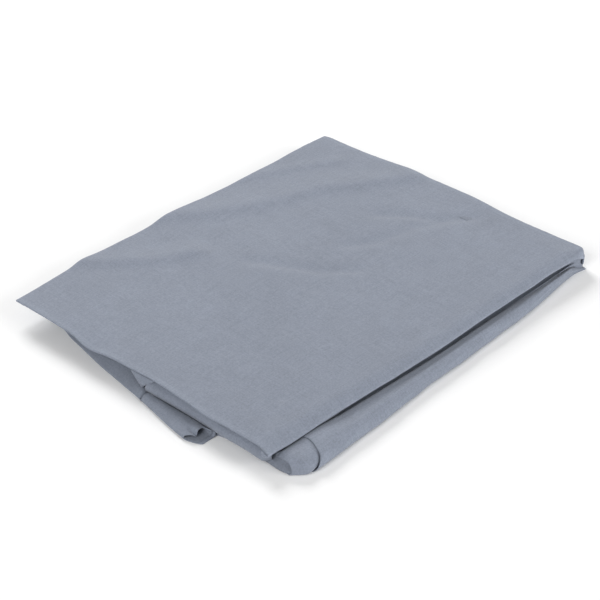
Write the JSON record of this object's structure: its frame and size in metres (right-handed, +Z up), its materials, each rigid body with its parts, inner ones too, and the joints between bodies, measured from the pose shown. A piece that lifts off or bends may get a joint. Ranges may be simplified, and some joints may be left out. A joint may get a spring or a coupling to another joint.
{
  "type": "folded spa cover",
  "caption": "Fitted fabric spa cover folded flat in four leaves, with a skirt flap, corner seam and elastic hem; the leaves open about their folds.",
  "frame": {"origin": "on the table under the middle of the folded cover", "axes": "+X across the folds towards the spine, +Y along the fold lines away from the long front roll, +Z up"},
  "size_m": [0.4194, 0.333, 0.02],
  "materials": {
    "cloth_outside": "fine plain-weave polyester, matt with a faint sheen",
    "cloth_inside": "inner face of the same cloth, matt",
    "elastic": "braided flat elastic, matt"
  },
  "bodies": {
    "core_leaf": {"core_skirt_ply": "cloth_inside", "core_panel_ply": "cloth_outside", "front_roll": "cloth_outside", "corner_tuck": "cloth_outside", "corner_lining": "cloth_inside", "middle_fold_outer": "cloth_outside", "middle_fold_inner": "cloth_inside", "base_fold": "cloth_inside"},
    "base_leaf": {"base_panel": "cloth_outside", "skirt_flap": "cloth_outside", "hem_casing_lower": "cloth_inside", "hem_casing_upper": "cloth_outside", "hem_elastic": "elastic", "seam_allowance": "cloth_inside"},
    "middle_leaf": {"middle_skirt_ply": "cloth_inside", "middle_panel_ply": "cloth_outside", "spine_wall": "cloth_outside", "fold_tab": "cloth_inside", "spine_fold": "cloth_outside"},
    "top_leaf": {"top_lower_ply": "cloth_inside", "top_upper_ply": "cloth_outside"}
  },
  "joints": [
    {"name": "base_fold_hinge", "type": "hinge", "parent": "core_leaf", "child": "base_leaf", "pos_m": [0.20325, 0, 0.0024], "axis": [0, -1, 0], "range_deg": [0, 179.9], "deforming": ["base_fold"]},
    {"name": "middle_fold_hinge", "type": "hinge", "parent": "core_leaf", "child": "middle_leaf", "pos_m": [-0.19475, 0, 0.0097], "axis": [0, -1, 0], "range_deg": [0, 160], "deforming": ["middle_fold_outer", "middle_fold_inner", "skirt_flap", "hem_casing_lower", "hem_casing_upper", "hem_elastic", "seam_allowance"]},
    {"name": "spine_hinge", "type": "hinge", "parent": "middle_leaf", "child": "top_leaf", "pos_m": [0.20425, 0, 0.0172], "axis": [0, 1, 0], "range_deg": [0, 179.9], "deforming": ["spine_fold"]}
  ]
}
